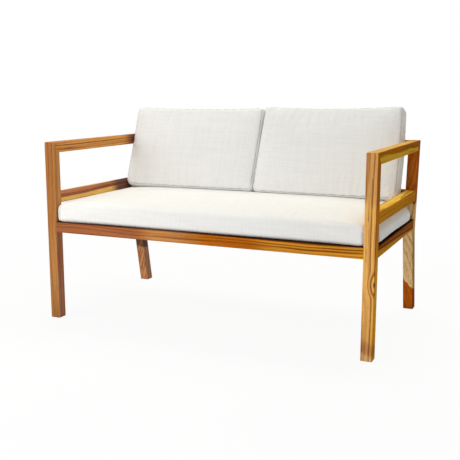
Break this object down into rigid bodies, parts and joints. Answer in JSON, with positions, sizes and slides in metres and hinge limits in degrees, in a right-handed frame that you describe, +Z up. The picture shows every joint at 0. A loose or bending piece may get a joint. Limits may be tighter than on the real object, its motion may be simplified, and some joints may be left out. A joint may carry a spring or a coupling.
{
  "type": "patio loveseat",
  "caption": "Timber patio loveseat with mitred arms, raked rear posts, a slatted seat and back, one long seat cushion and loose back cushions.",
  "frame": {"origin": "on the floor under the middle of the frame's footprint, half way between the front faces of the front legs and the rear corners of the rear feet", "axes": "+Z up, +X to the right as seen from the front, and the front of the seat faces -Y"},
  "size_m": [1.22, 0.6941, 0.7792],
  "materials": {
    "teak": "oiled",
    "slat_teak": "oiled",
    "dowel_wood": "plain",
    "screw_steel": "brushed",
    "canvas": "woven",
    "foam": "matte"
  },
  "bodies": {
    "frame": {"arm_left": "teak", "arm_lower_rail_left": "teak", "arm_lower_rail_right": "teak", "arm_right": "teak", "back_lower_rail": "teak", "back_slat_01": "slat_teak", "back_slat_02": "slat_teak", "back_slat_03": "slat_teak", "back_slat_04": "slat_teak", "back_slat_05": "slat_teak", "back_slat_06": "slat_teak", "back_slat_07": "slat_teak", "back_slat_08": "slat_teak", "back_slat_09": "slat_teak", "back_slat_10": "slat_teak", "back_top_rail": "teak", "cleat_screws": "screw_steel", "front_cleat_left": "slat_teak", "front_cleat_right": "slat_teak", "front_leg_left": "teak", "front_leg_right": "teak", "front_seat_rail": "teak", "mitre_dowels_left": "dowel_wood", "mitre_dowels_right": "dowel_wood", "rear_cleat_left": "slat_teak", "rear_cleat_right": "slat_teak", "rear_post_left": "teak", "rear_post_right": "teak", "rear_seat_rail": "teak", "seat_brace": "slat_teak", "seat_side_rail_left": "teak", "seat_side_rail_right": "teak", "seat_slat_01": "slat_teak", "seat_slat_02": "slat_teak", "seat_slat_03": "slat_teak", "seat_slat_04": "slat_teak", "seat_slat_05": "slat_teak", "seat_slat_06": "slat_teak", "seat_slat_07": "slat_teak", "seat_slat_08": "slat_teak", "seat_slat_09": "slat_teak", "seat_slat_10": "slat_teak", "seat_slat_11": "slat_teak", "slat_screws": "screw_steel"},
    "seat_cushion": {"seat_cushion_cover": "canvas", "seat_cushion_filling": "foam"},
    "back_cushion_left": {"back_cushion_left_cover": "canvas", "back_cushion_left_filling": "foam"},
    "back_cushion_right": {"back_cushion_right_cover": "canvas", "back_cushion_right_filling": "foam"}
  },
  "joints": [
    {"name": "seat_cushion_lift", "type": "slide", "parent": "frame", "child": "seat_cushion", "axis": [0, 0, 1], "range_m": [0, 0.3]},
    {"name": "back_cushion_left_lift", "type": "slide", "parent": "seat_cushion", "child": "back_cushion_left", "axis": [0, 0, 1], "range_m": [0, 0.35]},
    {"name": "back_cushion_right_lift", "type": "slide", "parent": "seat_cushion", "child": "back_cushion_right", "axis": [0, 0, 1], "range_m": [0, 0.35]}
  ]
}
